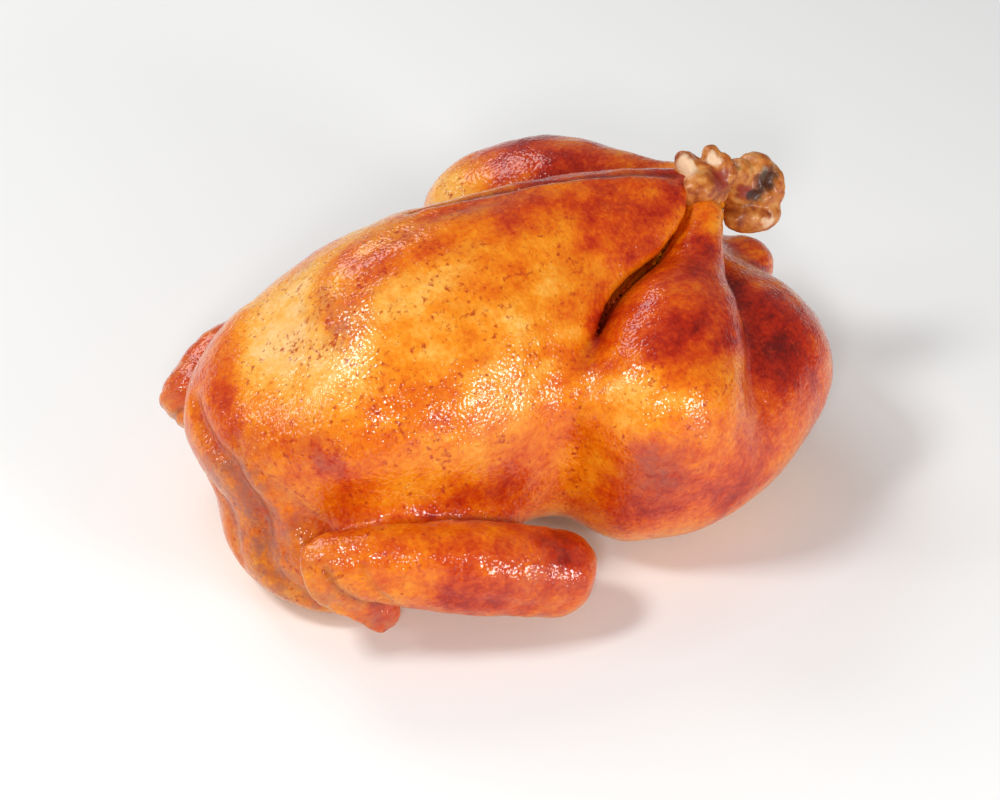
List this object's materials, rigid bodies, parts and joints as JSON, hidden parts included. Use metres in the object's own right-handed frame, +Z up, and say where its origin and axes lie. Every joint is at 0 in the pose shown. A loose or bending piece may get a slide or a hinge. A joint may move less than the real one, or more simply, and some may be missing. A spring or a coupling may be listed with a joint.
{
  "type": "roast chicken",
  "caption": "Whole roast bird resting breast up, with browned glossy skin, crossed leg ends over the tail and folded wings; food prop for a table or platter.",
  "frame": {"origin": "centre of the bird's outline on the surface that it rests on", "axes": "+X from the neck end to the tail and leg ends, +Z up, out of the breast"},
  "size_m": [0.2146, 0.1798, 0.1117],
  "materials": {
    "roasted_skin": "glossy browned roast skin"
  },
  "bodies": {
    "root": {"roast_chicken": "roasted_skin"}
  },
  "joints": []
}
